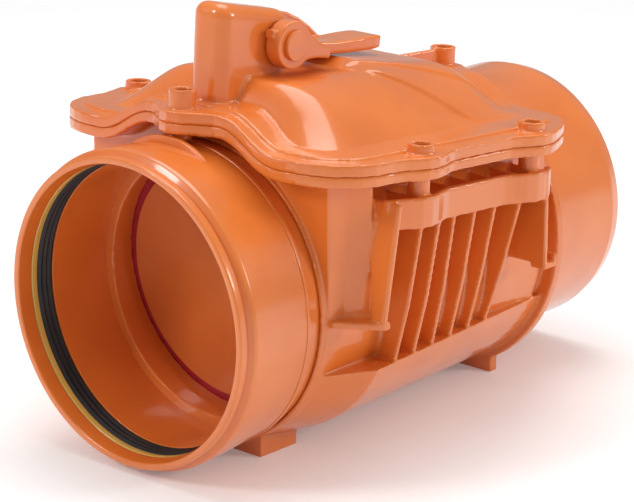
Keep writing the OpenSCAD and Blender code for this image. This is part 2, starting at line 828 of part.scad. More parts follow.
// Lever tower, drawn in by the given wall
module tower_form(wall) {
    top = tower_top - wall;
    corner = tower_corner_r - wall;
    roof = tower_roof_r - wall;
    intersection() {
        linear_extrude(top)
            round_plan(tower_front + wall, tower_back - wall, tower_half - wall, tower_edge_r - wall);
        side_slab(-tower_half, tower_half) {
            translate([tower_front + wall, 0]) square([tower_back - tower_front - 2 * wall, top - corner]);
            translate([tower_front + wall + corner, 0])
                square([tower_back - tower_front - 2 * (wall + corner), top]);
            for (x = [tower_front + wall + corner, tower_back - wall - corner])
                translate([x, top - corner]) circle(corner);
        }
        translate([tower_front, 0, 0]) rotate([90, 0, 90]) linear_extrude(tower_back - tower_front) {
            translate([wall - tower_half, 0]) square([2 * (tower_half - wall), top - roof]);
            translate([wall - tower_half + roof, 0]) square([2 * (tower_half - wall - roof), top]);
            for (y = [-1, 1]) translate([y * (tower_half - wall - roof), top - roof]) circle(roof);
        }
    }
}

// Lugs under the dome that hold the hinge pin
module hinge_lugs() {
    intersection() {
        cover_frame() dome_form(0.5);
        for (y0 = [lug_in, -lug_in - lug_t]) translate([hinge_x, 0, hinge_z]) side_slab(y0, y0 + lug_t) {
            circle(hub_r);
            translate([-hub_r, 0]) square([2 * hub_r, dome_h]);
        }
    }
}

// Raised fan ridges on the outlet end of the dome
module fan_ridges() {
    spread = 2 * (dome_half - dome_shoulder) / fan_count;
    root = dome_front + 0.52 * (dome_back - dome_front);
    top = cover_flange_t + dome_h;
    intersection() {
        translate([0, 0, fan_h]) dome_form(0);
        for (i = [0:fan_count - 1]) {
            y = (i - (fan_count - 1) / 2) * spread;
            translate([0, 0, cover_flange_t + dome_h * 0.45]) linear_extrude(top) polygon([
                [root, y * 0.55 - spread * 0.1],
                [dome_back, y * 1.15 - spread * 0.3],
                [dome_back, y * 1.15 + spread * 0.3],
                [root, y * 0.55 + spread * 0.1]
            ]);
        }
    }
}

// Cover: wavy flange with screw bosses, dome, lever tower and hinge lugs in one moulding
module cover() {
    color(orange) difference() {
        union() {
            difference() {
                cover_frame() {
                    flange(0, cover_flange_t);
                    flange_step();
                    dome_form(0);
                    fan_ridges();
                    for (b = bosses) translate([b.x, b.y, wave(b.y)]) cylinder(h = cover_flange_t + b.z, r = boss_r);
                    rear_gusset();
                }
                cover_frame() {
                    dome_form(dome_wall);
                    wave_layer(-4 * hump_h, 0);
                    translate([0, 0, -thin]) linear_extrude(cover_flange_t)
                        round_plan(opening_front, opening_back, opening_half, opening_r);
                }
            }
            cover_frame() difference() {
                tower_form(0);
                linear_extrude(cover_flange_t + dome_h - dome_wall)
                    round_plan(tower_front - 1, tower_back + 1, 2 * tower_half, 1);
            }
            cover_frame() front_bridge();
            cover_frame() translate([pivot_x, 0, pivot_w])
                bar_y(-tower_half - boss_rim, tower_half + boss_rim, shaft_r + 4);
            hinge_lugs();
        }
        cover_frame() intersection() {
            tower_form(tower_wall);
            union() {
                translate([opening_front + 2, -tower_half, cover_flange_t])
                    cube([dome_back, 2 * tower_half, tower_top]);
                translate([tower_front, -tower_half, hump_h + cover_flange_t + tower_wall])
                    cube([dome_back, 2 * tower_half, tower_top]);
            }
        }
        cover_frame() translate([pivot_x, 0, pivot_w]) bar_y(-eye_out, eye_out, shaft_r + run_play);
        translate([hinge_x, 0, hinge_z]) bar_y(-pin_end - 1, pin_end + 1, hinge_pin_r + run_play);
        screw_holes(screw_r + fit_gap, true);
        for (b = bosses) cover_frame()
            translate([b.x, b.y, wave(b.y) + cover_flange_t - head_sink])
                cylinder(h = b.z + head_sink + 1, r = screw_head_r + 0.5);
    }
}

// Foot of the tower's front face where it stands on the dome
module front_bridge() {
    difference() {
        intersection() {
            tower_form(0);
            translate([tower_front, -tower_half, hump_h + cover_flange_t / 2])
                cube([dome_front + dome_front_r + tower_wall - tower_front, 2 * tower_half, dome_h]);
        }
        translate([opening_front + 2, tower_wall - tower_half, 0])
            cube([dome_shoulder, 2 * (tower_half - tower_wall), tower_top]);
    }
}

// Triangular web that ties the rear boss to the dome
module rear_gusset() {
    foot = wave(0) + cover_flange_t - 1;
    side_slab(-1.5, 1.5) polygon([
        [dome_back - boss_tall, foot],
        [boss_back, foot],
        [boss_back, foot + boss_tall],
        [dome_back - 2 * boss_tall, foot + boss_tall]
    ]);
}

// Gasket: rubber cord pressed into the groove of the body flange
module cover_gasket() {
    color([0.1, 0.1, 0.11]) cover_frame() gasket_run(0);
}

// Cover screws: one pan-head screw in each boss
module cover_screws() {
    color([0.72, 0.73, 0.74]) for (b = bosses) cover_frame()
        translate([b.x, b.y, wave(b.y) + cover_flange_t - head_sink + washer_t]) {
            difference() {
                cylinder(h = screw_head_h, r = screw_head_r);
                for (a = [0, 90]) rotate(a) translate([-screw_head_r * 0.6, -0.5, screw_head_h - 1.4])
                    cube([screw_head_r * 1.2, 1, 2]);
            }
            shank = cover_flange_t - head_sink + washer_t + b[3];
            translate([0, 0, -shank]) cylinder(h = shank, r = screw_r);
        }
}

// Washers: one under each screw head
module screw_washers() {
    color([0.62, 0.63, 0.65]) for (b = bosses) cover_frame()
        translate([b.x, b.y, wave(b.y) + cover_flange_t - head_sink]) difference() {
            cylinder(h = washer_t, r = screw_head_r + 0.3);
            translate([0, 0, -1]) cylinder(h = washer_t + 2, r = screw_r + fit_gap);
        }
}

// Hinge pin: steel pin through both lugs and both flap arms, grooved for its clips
module hinge_pin() {
    color([0.75, 0.76, 0.78]) translate([hinge_x, 0, hinge_z]) difference() {
        bar_y(-pin_end, pin_end, hinge_pin_r);
        for (m = [0, 1]) mirror([0, m, 0]) difference() {
            bar_y(lug_in + lug_t + 0.4, lug_in + lug_t + 1.6, hinge_pin_r + 1);
            bar_y(lug_in + lug_t, lug_in + lug_t + 2, hinge_pin_r - 1);
        }
    }
}

// Pin clips: one spring clip in the groove at each end of the hinge pin
module pin_clips() {
    color([0.3, 0.31, 0.33]) translate([hinge_x, 0, hinge_z]) for (m = [0, 1]) mirror([0, m, 0]) difference() {
        bar_y(lug_in + lug_t + 0.5, lug_in + lug_t + 1.5, hinge_pin_r + 2);
        bar_y(lug_in + lug_t, lug_in + lug_t + 2, hinge_pin_r - 1 + run_play);
        translate([-hinge_pin_r * 0.6, lug_in, -2 * hinge_pin_r])
            cube([hinge_pin_r * 1.2, lug_t + 4, 2 * hinge_pin_r]);
    }
}

// Round bar square to the flap, between two depths, at a place on the disc
module flap_bar(v0, v1, r) {
    translate([v0, 0, -seat_drop]) rotate([0, 90, 0]) cylinder(h = v1 - v0, r = r, $fn = 96);
}

// Flap disc: ribbed disc with two hinge arms and a stop face for the locking bolt
module flap_disc() {
    rib_back = disc_back + disc_rib_h;
    arm_foot = seat_drop - flap_r * 0.72;
    color(orange) flap_frame() difference() {
        union() {
            flap_bar(disc_front, disc_back, flap_r);
            difference() {
                flap_bar(disc_back - thin, rib_back, flap_r - 4);
                flap_bar(disc_back - 1, rib_back + 1, flap_r - 7.5);
            }
            difference() {
                flap_bar(disc_back - thin, rib_back, flap_r * 0.5);
                flap_bar(disc_back - 1, rib_back + 1, flap_r * 0.5 - 3.5);
            }
            for (a = [0:60:120]) translate([0, 0, -seat_drop]) rotate([a, 0, 0])
                translate([disc_back - thin, -1.75, 6 - flap_r]) cube([disc_rib_h, 3.5, 2 * (flap_r - 6)]);
            for (m = [0, 1]) mirror([0, m, 0]) side_slab(arm_in, arm_in + arm_w) {
                circle(hub_r);
                polygon([
                    [disc_front, flap_r - seat_drop - 4],
                    [-hub_r, -1],
                    [hub_r, 0],
                    [rib_back + 2, flap_r - seat_drop - 6],
                    [disc_back - 1, -arm_foot],
                    [disc_front + 1, -arm_foot]
                ]);
            }
            stop_face();
        }
        bar_y(-arm_in - arm_w - 1, arm_in + arm_w + 1, hinge_pin_r + bush_wall + run_play);
        flap_screw_places() rotate([0, 90, 0]) translate([0, 0, disc_front - 1])
            cylinder(h = disc_t + disc_rib_h + 4, r = 2 + run_play);
    }
}

// Raised block behind the disc's top edge that the locking bolt drops behind
module stop_face() {
    top = flap_r - seat_drop - 3;
    side_slab(-arm_in + 4, arm_in - 4) polygon([
        [disc_front + 1, top],
        [stop_v, top],
        [stop_v, top - stop_h],
        [disc_back - 1, top - stop_root],
        [disc_front + 1, top - stop_root]
    ]);
}

// Places of the flap screws on the clamp circle
module flap_screw_places() {
    ring = seal_in_r - 7;
    for (i = [0:flap_screw_count - 1]) {
        a = 360 * (i + 0.5) / flap_screw_count;
        translate([0, ring * sin(a), ring * cos(a) - seat_drop]) children();
    }
}

// Flap seal: red rubber ring that closes on the seat
module flap_seal() {
    color([0.72, 0.1, 0.14]) flap_frame() difference() {
        flap_bar(seal_front, disc_front, flap_r);
        flap_bar(seal_front - 1, disc_front + 1, seal_in_r);
    }
}

// Clamp plate: front plate that holds the seal on the disc
module flap_clamp_plate() {
    color(orange) flap_frame() difference() {
        union() {
            flap_bar(seal_front - clamp_t, seal_front, plate_r);
            flap_bar(seal_front - thin, disc_front, seal_in_r - fit_gap);
        }
        flap_screw_places() rotate([0, 90, 0]) translate([0, 0, seal_front - 1])
            cylinder(h = flap_seal_t + 2, r = 1.6 + run_play);
    }
}

// Flap screws: driven from the back through the disc into the clamp plate
module flap_screws() {
    color([0.72, 0.73, 0.74]) flap_frame() flap_screw_places() rotate([0, 90, 0]) {
        translate([0, 0, seal_front - 0.5]) cylinder(h = disc_back - seal_front + 1, r = 1.6);
        translate([0, 0, disc_back]) difference() {
            cylinder(h = 2, r = 3.4);
            for (a = [0, 90]) rotate(a) translate([-2, -0.4, 1]) cube([4, 0.8, 2]);
        }
    }
}

// Flap bushes: one plain bush in each hinge arm
module flap_bushes() {
    color([0.9, 0.88, 0.82]) flap_frame() for (y0 = [arm_in, -arm_in - arm_w]) difference() {
        bar_y(y0, y0 + arm_w, hinge_pin_r + bush_wall);
        bar_y(y0 - 1, y0 + arm_w + 1, hinge_pin_r + run_play);
    }
}

// Bolt guide: block in the tower's foot that the locking bolt slides through
module bolt_guide() {
    color([0.2, 0.2, 0.21]) cover_frame() difference() {
        translate([0, 0, guide_top - guide_h]) linear_extrude(guide_h)
            round_plan(opening_front + 2 + fit_gap, tower_back - tower_wall - fit_gap,
                tower_half - tower_wall - fit_gap, tower_edge_r - tower_wall);
        translate([bolt_x - bolt_play, -bolt_half - bolt_play, guide_top - guide_h - 1])
            cube([bolt_t + 2 * bolt_play, 2 * (bolt_half + bolt_play), guide_h + 2]);
    }
}

// Locking bolt: flat blade that drops behind the flap, with a slotted head for the crank pins
module locking_bolt() {
    slot_mid = pivot_w + pin_rise;
    slot_x0 = pivot_x - crank_throw - slot_half;
    slot_x1 = pivot_x - pin_back + slot_half;
    color([0.85, 0.86, 0.84]) cover_frame() difference() {
        union() {
            translate([bolt_x, -bolt_half, bolt_low]) cube([bolt_t, 2 * bolt_half, blade_top - bolt_low]);
            translate([bolt_x, -head_half, blade_top - 1]) cube([bolt_t, 2 * head_half, head_foot - blade_top + 2]);
            translate([slot_x0 - head_wall, -head_half, head_foot])
                cube([slot_x1 - slot_x0 + 2 * head_wall, 2 * head_half, head_top - head_foot]);
        }
        translate([0, 0, slot_mid]) side_slab(-head_half - 1, head_half + 1) {
            translate([slot_x0 + slot_half, -slot_half]) square([slot_x1 - slot_x0 - 2 * slot_half, 2 * slot_half]);
            for (x = [slot_x0 + slot_half, slot_x1 - slot_half]) translate([x, 0]) circle(slot_half);
        }
    }
}

// Crank: stub shaft with a square outer end and a crank pin, drawn on the +Y side
module crank() {
    wall_out = tower_half + boss_rim;
    difference() {
        union() {
            bar_y(crank_in, wall_out, shaft_r);
            translate([-square_side / 2, wall_out - 1, -square_side / 2])
                cube([square_side, eye_out - wall_out + 1, square_side]);
            rotate([0, crank_turn, 0]) {
                translate([-crank_throw, 0, 0]) bar_y(crank_in, crank_in + crank_t, crank_pin_r + 0.8);
                translate([-crank_throw, 0, 0]) bar_y(fit_gap, crank_in + 1, crank_pin_r);
                translate([-crank_throw, crank_in + 0.4, -crank_pin_r - 0.4])
                    cube([crank_throw, crank_t - 0.8, 2 * crank_pin_r + 0.8]);
            }
        }
        difference() {
            bar_y(wall_out - 3, wall_out - 1.2, shaft_r + 1);
            bar_y(wall_out - 4, wall_out, shaft_r - 1.6);
        }
    }
}

// Crank on the near side of the tower
module crank_near() {
    color([0.7, 0.71, 0.73]) cover_frame() translate([pivot_x, 0, pivot_w]) mirror([0, 1, 0]) crank();
}

// Crank on the far side of the tower
module crank_far() {
    color([0.7, 0.71, 0.73]) cover_frame() translate([pivot_x, 0, pivot_w]) crank();
}

// Shaft seals: one ring in the groove of each stub shaft
module shaft_seals() {
    mid = tower_half + boss_rim - 2.1;
    color([0.08, 0.08, 0.09]) cover_frame() for (side = [-1, 1]) translate([pivot_x, side * mid, pivot_w])
        rotate([90, 0, 0]) rotate_extrude() translate([shaft_r - 0.78, 0]) circle(0.76, $fn = 24);
}

// Half thickness, half width and rise of the lever, at a share of its length from the axis
lever_steps = 24;
bend_start = 0.1;
tip_start = 0.88;
arm_end = 9;
function lever_half(s) = s < lever_waist
    ? waist_t / 2 + (eye_r * 0.75 - waist_t / 2) * pow(1 - s / lever_waist, 1.5)
    : waist_t / 2 + (handle_t - waist_t) / 2 * sin(90 * (s - lever_waist) / (1 - lever_waist));
function lever_width(s) =
    s < bend_start ? eye_out :
    s < lever_waist ? arm_end + (eye_out - arm_end) * (1 + cos(180 * (s - bend_start) / (lever_waist - bend_start))) / 2 :
    s < tip_start ? arm_end + (handle_half - arm_end) * sin(90 * (s - lever_waist) / (tip_start - lever_waist)) :
    handle_half * sqrt(1 - 0.7 * pow((s - tip_start) / (1 - tip_start), 2));
function lever_rise(s) = tip_rise * s * s;

// Lever side outline along its own axis
module lever_side() {
    shares = [for (i = [0:lever_steps]) i / lever_steps];
    top = [for (s = shares) [lever_len * s, lever_rise(s) + lever_half(s)]];
    under = [for (i = [lever_steps:-1:0]) [lever_len * shares[i], lever_rise(shares[i]) - lever_half(shares[i])]];
    polygon(concat(top, under));
}

// Lever plan outline: two eyes, a fork and a paddle handle
module lever_plan() {
    fork = tower_top - pivot_w + 2;
    crotch = fork + 10;
    shares = [for (i = [0:lever_steps]) i / lever_steps];
    near = [for (s = shares) [lever_len * s, -lever_width(s)]];
    far = [for (i = [lever_steps:-1:0]) [lever_len * shares[i], lever_width(shares[i])]];
    difference() {
        polygon(concat(near, far));
        polygon([
            [-eye_r - 1, -eye_in],
            [fork, -eye_in],
            [crotch, -2],
            [crotch, 2],
            [fork, eye_in],
            [-eye_r - 1, eye_in]
        ]);
    }
}

// Lever: forked hand lever with an eye on each side of the tower
module lever() {
    color(orange) cover_frame() translate([pivot_x, 0, pivot_w]) rotate([0, lever_rest, 0]) difference() {
        union() {
            bar_y(-eye_out, -eye_in, eye_r);
            bar_y(eye_in, eye_out, eye_r);
            intersection() {
                side_slab(-eye_out, eye_out) lever_side();
                translate([0, 0, -2 * eye_r]) linear_extrude(4 * eye_r) lever_plan();
            }
        }
        rotate([0, -lever_rest, 0]) {
            side = square_side + fit_gap;
            translate([-side / 2, -eye_out - 1, -side / 2]) cube([side, 2 * eye_out + 2, side]);
        }
    }
}

// Lever caps: round caps over the shaft ends
module lever_caps() {
    color(orange) cover_frame() translate([pivot_x, 0, pivot_w]) for (m = [0, 1]) mirror([0, m, 0])
        bar_y(eye_out, eye_out + cap_t, cap_r);
}

inlet_socket();
inlet_lip_seal();
seal_retaining_ring();
valve_body();
outlet_spigot();
cover();
cover_gasket();
cover_screws();
screw_washers();
hinge_pin();
pin_clips();
flap_disc();
flap_seal();
flap_clamp_plate();
flap_screws();
flap_bushes();
bolt_guide();
locking_bolt();
crank_near();
crank_far();
shaft_seals();
lever();
lever_caps();
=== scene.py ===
import math

import bmesh
import bpy
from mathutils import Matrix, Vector


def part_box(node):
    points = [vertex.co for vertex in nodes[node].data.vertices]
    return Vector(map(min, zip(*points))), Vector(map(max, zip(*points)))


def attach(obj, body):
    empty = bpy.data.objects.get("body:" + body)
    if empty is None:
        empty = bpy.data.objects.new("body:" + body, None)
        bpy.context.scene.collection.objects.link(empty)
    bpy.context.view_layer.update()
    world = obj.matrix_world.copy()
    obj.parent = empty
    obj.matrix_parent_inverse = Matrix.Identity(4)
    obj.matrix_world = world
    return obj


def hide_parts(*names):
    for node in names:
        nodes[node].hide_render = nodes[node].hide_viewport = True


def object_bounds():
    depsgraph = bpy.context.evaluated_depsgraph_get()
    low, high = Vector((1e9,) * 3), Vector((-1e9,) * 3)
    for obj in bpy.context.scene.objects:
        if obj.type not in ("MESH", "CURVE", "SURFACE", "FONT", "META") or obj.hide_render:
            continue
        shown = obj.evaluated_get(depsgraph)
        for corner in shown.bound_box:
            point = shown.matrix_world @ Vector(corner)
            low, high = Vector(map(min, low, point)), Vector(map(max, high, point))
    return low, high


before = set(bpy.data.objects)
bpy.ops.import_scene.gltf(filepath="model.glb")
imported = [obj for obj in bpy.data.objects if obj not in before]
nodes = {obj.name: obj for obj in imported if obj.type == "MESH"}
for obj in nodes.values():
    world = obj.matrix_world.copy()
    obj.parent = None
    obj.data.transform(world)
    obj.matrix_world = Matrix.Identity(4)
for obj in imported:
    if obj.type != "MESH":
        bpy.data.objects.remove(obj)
cad_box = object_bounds()
MM = 0.001

# Inlet socket: the wide pipe end at the front, injection moulded in orange polypropylene.
# A thin rim, a shoulder round the seal groove and a bead ring run round it, and its neck
# is pushed into the body up to the flat front wall.
socket_low, socket_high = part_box("inlet_socket")
mouth_x = socket_low.x / MM
shoulder_r = socket_high.y / MM
pipe_r = 80.0
bore_r = 80.4
mouth_r = 83.0
rim_r = 87.0
neck_r = 85.0
bead_r = 87.2
groove_r = 87.0
groove_front = mouth_x + 9.0
groove_end = groove_front + 15.0
bead_back = -11.0
bead_front = bead_back - 3.0
rim_end = mouth_x + 5.0
rim_foot = rim_r - 1.0


def hex_linear(code):
    """Linear colour with full alpha from an sRGB hex code."""
    parts = [int(code[i:i + 2], 16) / 255 for i in (1, 3, 5)]
    return [p / 12.92 if p <= 0.04045 else ((p + 0.055) / 1.055) ** 2.4 for p in parts] + [1.0]


def add_node(tree, kind, sockets=None, **settings):
    """A node of that kind with its settings, its input values and its links from other nodes."""
    node = tree.nodes.new(kind)
    for name, value in settings.items():
        setattr(node, name, value)
    for name, value in (sockets or {}).items():
        if isinstance(value, bpy.types.NodeSocket):
            tree.links.new(value, node.inputs[name])
        else:
            node.inputs[name].default_value = value
    return node


def bare_material(name):
    """Material with an empty node tree, and that tree."""
    material = bpy.data.materials.new(name)
    material.use_nodes = True
    material.node_tree.nodes.clear()
    return material, material.node_tree


def noise(tree, size_mm, detail):
    """Noise in Object coordinates whose patches are about that many millimetres wide."""
    place = add_node(tree, "ShaderNodeTexCoord").outputs["Object"]
    cloud = add_node(tree, "ShaderNodeTexNoise", {
        "Vector": place, "Scale": 1 / (size_mm * MM), "Detail": detail})
    return cloud.outputs["Fac"]


def two_tones(tree, mix, stops):
    """Colour that runs between two (place, hex code) stops of a mix."""
    ramp = add_node(tree, "ShaderNodeValToRGB", {"Fac": mix})
    for element, (place, code) in zip(ramp.color_ramp.elements, stops):
        element.position = place
        element.color = hex_linear(code)
    return ramp.outputs["Color"]


def moulded_polypropylene(name, pale, deep, gloss):
    """Injection-moulded polypropylene: an even colour with faint flow clouds a few centimetres wide,
    a low sheen that varies softly, and the slight ripple that a mould leaves on broad faces."""
    material, tree = bare_material(name)
    cloud_mm, sheen_mm, ripple_mm = 45.0, 18.0, 22.0
    tint = two_tones(tree, noise(tree, cloud_mm, 3.0), ((0.35, deep), (0.65, pale)))
    rough = add_node(tree, "ShaderNodeMapRange", {
        "Value": noise(tree, sheen_mm, 4.0), "From Min": 0.3, "From Max": 0.7,
        "To Min": gloss - 0.04, "To Max": gloss + 0.05})
    skin = add_node(tree, "ShaderNodeBump", {
        "Height": noise(tree, ripple_mm, 0.0), "Strength": 0.5, "Distance": 0.25 * MM})
    shader = add_node(tree, "ShaderNodeBsdfPrincipled", {
        "Base Color": tint, "Roughness": rough.outputs["Result"],
        "Normal": skin.outputs["Normal"], "IOR": 1.49,
        "Coat Weight": 0.8, "Coat Roughness": 0.1, "Coat IOR": 1.5})
    add_node(tree, "ShaderNodeOutputMaterial", {"Surface": shader.outputs["BSDF"]})
    return material


def rounded(corners, steps=5):
    """Closed outline through (a, b, radius) corners, each corner turned into an arc of its radius."""
    outline = []
    for i, (a, b, radius) in enumerate(corners):
        here = Vector((a, b))
        back = Vector(corners[i - 1][:2]) - here
        ahead = Vector(corners[(i + 1) % len(corners)][:2]) - here
        half = back.angle(ahead) / 2
        if radius == 0 or half > 1.55:
            outline.append(here)
            continue
        reach = min(radius / math.tan(half), 0.49 * back.length, 0.49 * ahead.length)
        start = here + back.normalized() * reach
        end = here + ahead.normalized() * reach
        to_centre = (back.normalized() + ahead.normalized()).normalized()
        centre = here + to_centre * (reach / math.cos(half))
        first = start - centre
        sweep = first.angle_signed(end - centre)
        for k in range(steps + 1):
            turn = -sweep * k / steps
            outline.append(centre + Vector((
                first.x * math.cos(turn) - first.y * math.sin(turn),
                first.x * math.sin(turn) + first.y * math.cos(turn))))
    return outline


def new_piece(name, mesh, material):
    """Object at the origin with smooth shading and one material."""
    piece = bpy.data.objects.new(name, mesh)
    bpy.context.scene.collection.objects.link(piece)
    mesh.materials.clear()
    mesh.materials.append(material)
    mesh.shade_smooth()
    return piece


def lathe(name, outline, material, crease=math.radians(38), turns=144):
    """Closed ring turned round the pipe axis from an outline of (along X, radius) points in millimetres."""
    bm = bmesh.new()
    rings = []
    for k in range(turns):
        turn = 2 * math.pi * k / turns
        rings.append([
            bm.verts.new((p.x * MM, p.y * MM * math.cos(turn), p.y * MM * math.sin(turn))) for p in outline])
    count = len(outline)
    for k in range(turns):
        here, ahead = rings[k], rings[(k + 1) % turns]
        for i in range(count):
            j = (i + 1) % count
            bm.faces.new((here[i], here[j], ahead[j], ahead[i]))
    bmesh.ops.recalc_face_normals(bm, faces=bm.faces)
    mesh = bpy.data.meshes.new(name)
    bm.to_mesh(mesh)
    bm.free()
    piece = new_piece(name, mesh, material)
    mesh.set_sharp_from_angle(angle=crease)
    return piece


body_plastic = moulded_polypropylene("orange_polypropylene", "#E87C30", "#E0742A", 0.36)
socket = lathe("socket_moulding", rounded([
    (mouth_x, mouth_r, 1.2), (mouth_x, rim_r, 1.2), (rim_end, rim_r, 0.8), (rim_end + 0.2, rim_foot, 0.3),
    (rim_end + 1, rim_foot, 0.5), (groove_front - 1, shoulder_r - 0.6, 1.5),
    (groove_front + 1, shoulder_r, 2.5), (groove_end, shoulder_r - 0.8, 6), (bead_front, neck_r + 1.6, 0.8),
    (bead_front, bead_r, 0.9), (bead_back, bead_r, 0.9), (bead_back, neck_r, 0.6), (0, neck_r, 0),
    (0, bore_r, 0), (groove_end, bore_r, 0.4), (groove_end, groove_r, 0.3), (groove_front, groove_r, 0.3),
    (groove_front, pipe_r + 1.5, 0.6)]), body_plastic)
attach(socket, "housing")
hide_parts("inlet_socket")


# Socket web: a thin crescent fin on top of the socket's neck, moulded with it in the same plastic.
# Its edges are slightly rounded, and it stiffens the neck in front of the cover.
def loft(rings):
    """Closed mesh through rings of points, with a flat face on the first ring and on the last."""
    bm = bmesh.new()
    loops = [[bm.verts.new(point) for point in ring] for ring in rings]
    for here, ahead in zip(loops, loops[1:]):
        for k in range(len(here)):
            bm.faces.new((here[k - 1], here[k], ahead[k], ahead[k - 1]))
    bm.faces.new(loops[0])
    bm.faces.new(loops[-1])
    bmesh.ops.recalc_face_normals(bm, faces=bm.faces)
    mesh = bpy.data.meshes.new("loft")
    bm.to_mesh(mesh)
    bm.free()
    return mesh


web_back = -27.5
web_t = 3.0
web_r = 48.4
web_mid = 44.1
web_edge = 0.6
sharp_turn = 0.8
foot_share = 0.54
web_crease = math.radians(30)
arc = [math.radians(a) for a in range(-41, 42, 2)]
lens_shape = [(web_r * math.sin(a), web_mid + web_r * math.cos(a)) for a in arc]
lens_shape += [(neck_r * math.sin(a * foot_share), neck_r * math.cos(a * foot_share)) for a in reversed(arc)]
web_mesh = loft([[Vector((x, y, z)) * MM for y, z in lens_shape] for x in (web_back - web_t, web_back)])
bm = bmesh.new()
bm.from_mesh(web_mesh)
rim_edges = [e for e in bm.edges if e.calc_face_angle(0.0) > sharp_turn]
bmesh.ops.bevel(bm, geom=rim_edges, offset=web_edge * MM, segments=3, affect="EDGES", profile=0.5)
bm.to_mesh(web_mesh)
bm.free()
socket_web = new_piece("socket_web", web_mesh, body_plastic)
web_mesh.set_sharp_from_angle(angle=web_crease)
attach(socket_web, "housing")

# Retaining ring: a hard tan plastic ring, snapped into the groove to keep the lip seal in place.
# It shows as a thin yellow line just inside the mouth.
ring_plastic = moulded_polypropylene("tan_polypropylene", "#E3C465", "#D8B755", 0.38)
ring_low, ring_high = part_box("seal_retaining_ring")
ring_front, ring_back = ring_low.x / MM, ring_high.x / MM
ring_out = ring_high.z / MM
ring_t = 5.2
ring_in = ring_out - ring_t
retainer = lathe("retaining_ring", rounded([
    (ring_front, ring_in, 0.9), (ring_front, ring_out, 0.4), (ring_back, ring_out, 0.4),
    (ring_back, ring_in, 0.5)]), ring_plastic)
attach(retainer, "housing")
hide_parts("seal_retaining_ring")


# Lip seal: a moulded black rubber ring in the same groove, with soft ridges that press on the pipe.
# Its front slopes so that a pipe slides in, and the rubber has a dull bloom.
def moulded_rubber(name, dark, bloom, dullness):
    """Moulded rubber: a near-even dark colour with a pale bloom in soft patches,
    and a dull, finely pitted skin."""
    material, tree = bare_material(name)
    patch_mm, pit_mm = 14.0, 0.9
    tint = two_tones(tree, noise(tree, patch_mm, 4.0), ((0.4, dark), (0.75, bloom)))
    skin = add_node(tree, "ShaderNodeBump", {
        "Height": noise(tree, pit_mm, 3.0), "Strength": 0.3, "Distance": 0.05 * MM})
    shader = add_node(tree, "ShaderNodeBsdfPrincipled", {
        "Base Color": tint, "Roughness": dullness,
        "Normal": skin.outputs["Normal"], "IOR": 1.52})
    add_node(tree, "ShaderNodeOutputMaterial", {"Surface": shader.outputs["BSDF"]})
    return material


black_rubber = moulded_rubber("black_sbr_rubber", "#141416", "#232327", 0.52)
seal_low, seal_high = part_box("inlet_lip_seal")
seal_front, seal_back = seal_low.x / MM, seal_high.x / MM
seal_out = seal_high.z / MM
lip_r = bore_r + 0.1
lip_root = bore_r + 1.6
lip_count = 3
lip_pitch = (seal_back - seal_front) / lip_count
lip_corners = [(seal_front, seal_out, 0.3), (seal_back, seal_out, 0.3), (seal_back, lip_root, 0.3)]
for lip in reversed(range(lip_count)):
    start = seal_front + lip * lip_pitch
    lip_corners += [(start + 0.95 * lip_pitch, lip_root, 0.2), (start + 0.8 * lip_pitch, lip_r, 0.4)]
    lip_corners += [(start + 0.55 * lip_pitch, lip_r, 0.4), (start + 0.02 * lip_pitch, lip_root, 0.2)]
lip_seal = lathe("lip_seal", rounded(lip_corners), black_rubber)
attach(lip_seal, "housing")
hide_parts("inlet_lip_seal")


# Valve body: the big moulding between the pipes, with the leaning seat wall, the wavy flange,
# side frames with ribs, a rear collar and feet. Its edges are softly rounded by the mould.
def soft_moulding(name, solid, material, skin_mm, relax, most_faces, extra=()):
    """Copy of a solid, and of any shells laid over it, fused into one skin with soft moulded edges."""
    bm = bmesh.new()
    bm.from_mesh(solid)
    for shell in extra:
        bm.from_mesh(shell)
    bmesh.ops.remove_doubles(bm, verts=bm.verts, dist=1e-6)
    mesh = bpy.data.meshes.new(name + "_raw")
    bm.to_mesh(mesh)
    bm.free()
    raw = bpy.data.objects.new(name + "_raw", mesh)
    bpy.context.scene.collection.objects.link(raw)
    skin = raw.modifiers.new("skin", "REMESH")
    skin.mode = "VOXEL"
    skin.voxel_size = skin_mm * MM
    soft = raw.modifiers.new("soft", "SMOOTH")
    soft.factor = 0.5
    soft.iterations = relax
    thin = raw.modifiers.new("thin", "DECIMATE")
    thin.ratio = 1.0
    raw.modifiers.new("even", "WEIGHTED_NORMAL")
    evaluated = raw.evaluated_get(bpy.context.evaluated_depsgraph_get())
    dense = len(evaluated.data.polygons)
    thin.ratio = min(1.0, most_faces / dense)
    evaluated = raw.evaluated_get(bpy.context.evaluated_depsgraph_get())
    result = bpy.data.meshes.new_from_object(evaluated)
    bpy.data.objects.remove(raw)
    bpy.data.meshes.remove(mesh)
    return new_piece(name, result, material)


body = soft_moulding(
    "body_moulding", nodes["valve_body"].data, body_plastic, skin_mm=0.85, relax=5, most_faces=190000)
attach(body, "housing")
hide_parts("valve_body")

# Outlet spigot: plain pipe of the same plastic, glued into the rear of the body.
# Its end is chamfered so that it enters the next pipe's socket.
spigot_low, spigot_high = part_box("outlet_spigot")
spigot_front, spigot_back = spigot_low.x / MM, spigot_high.x / MM
spigot_wall, root_t, root_len = 4.0, 0.6, 25.2
chamfer_len, chamfer_t = 9.0, 2.4
spigot_in = pipe_r - spigot_wall
root_r = pipe_r + root_t
root_end = spigot_front + root_len
spigot = lathe("spigot_pipe", rounded([
    (spigot_front, spigot_in, 0), (spigot_back, spigot_in, 0.8), (spigot_back, pipe_r - chamfer_t, 1.2),
    (spigot_back - chamfer_len, pipe_r, 6), (root_end, pipe_r, 0.3), (root_end, root_r, 0.3),
    (spigot_front, root_r, 0)]), body_plastic)
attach(spigot, "housing")
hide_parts("outlet_spigot")

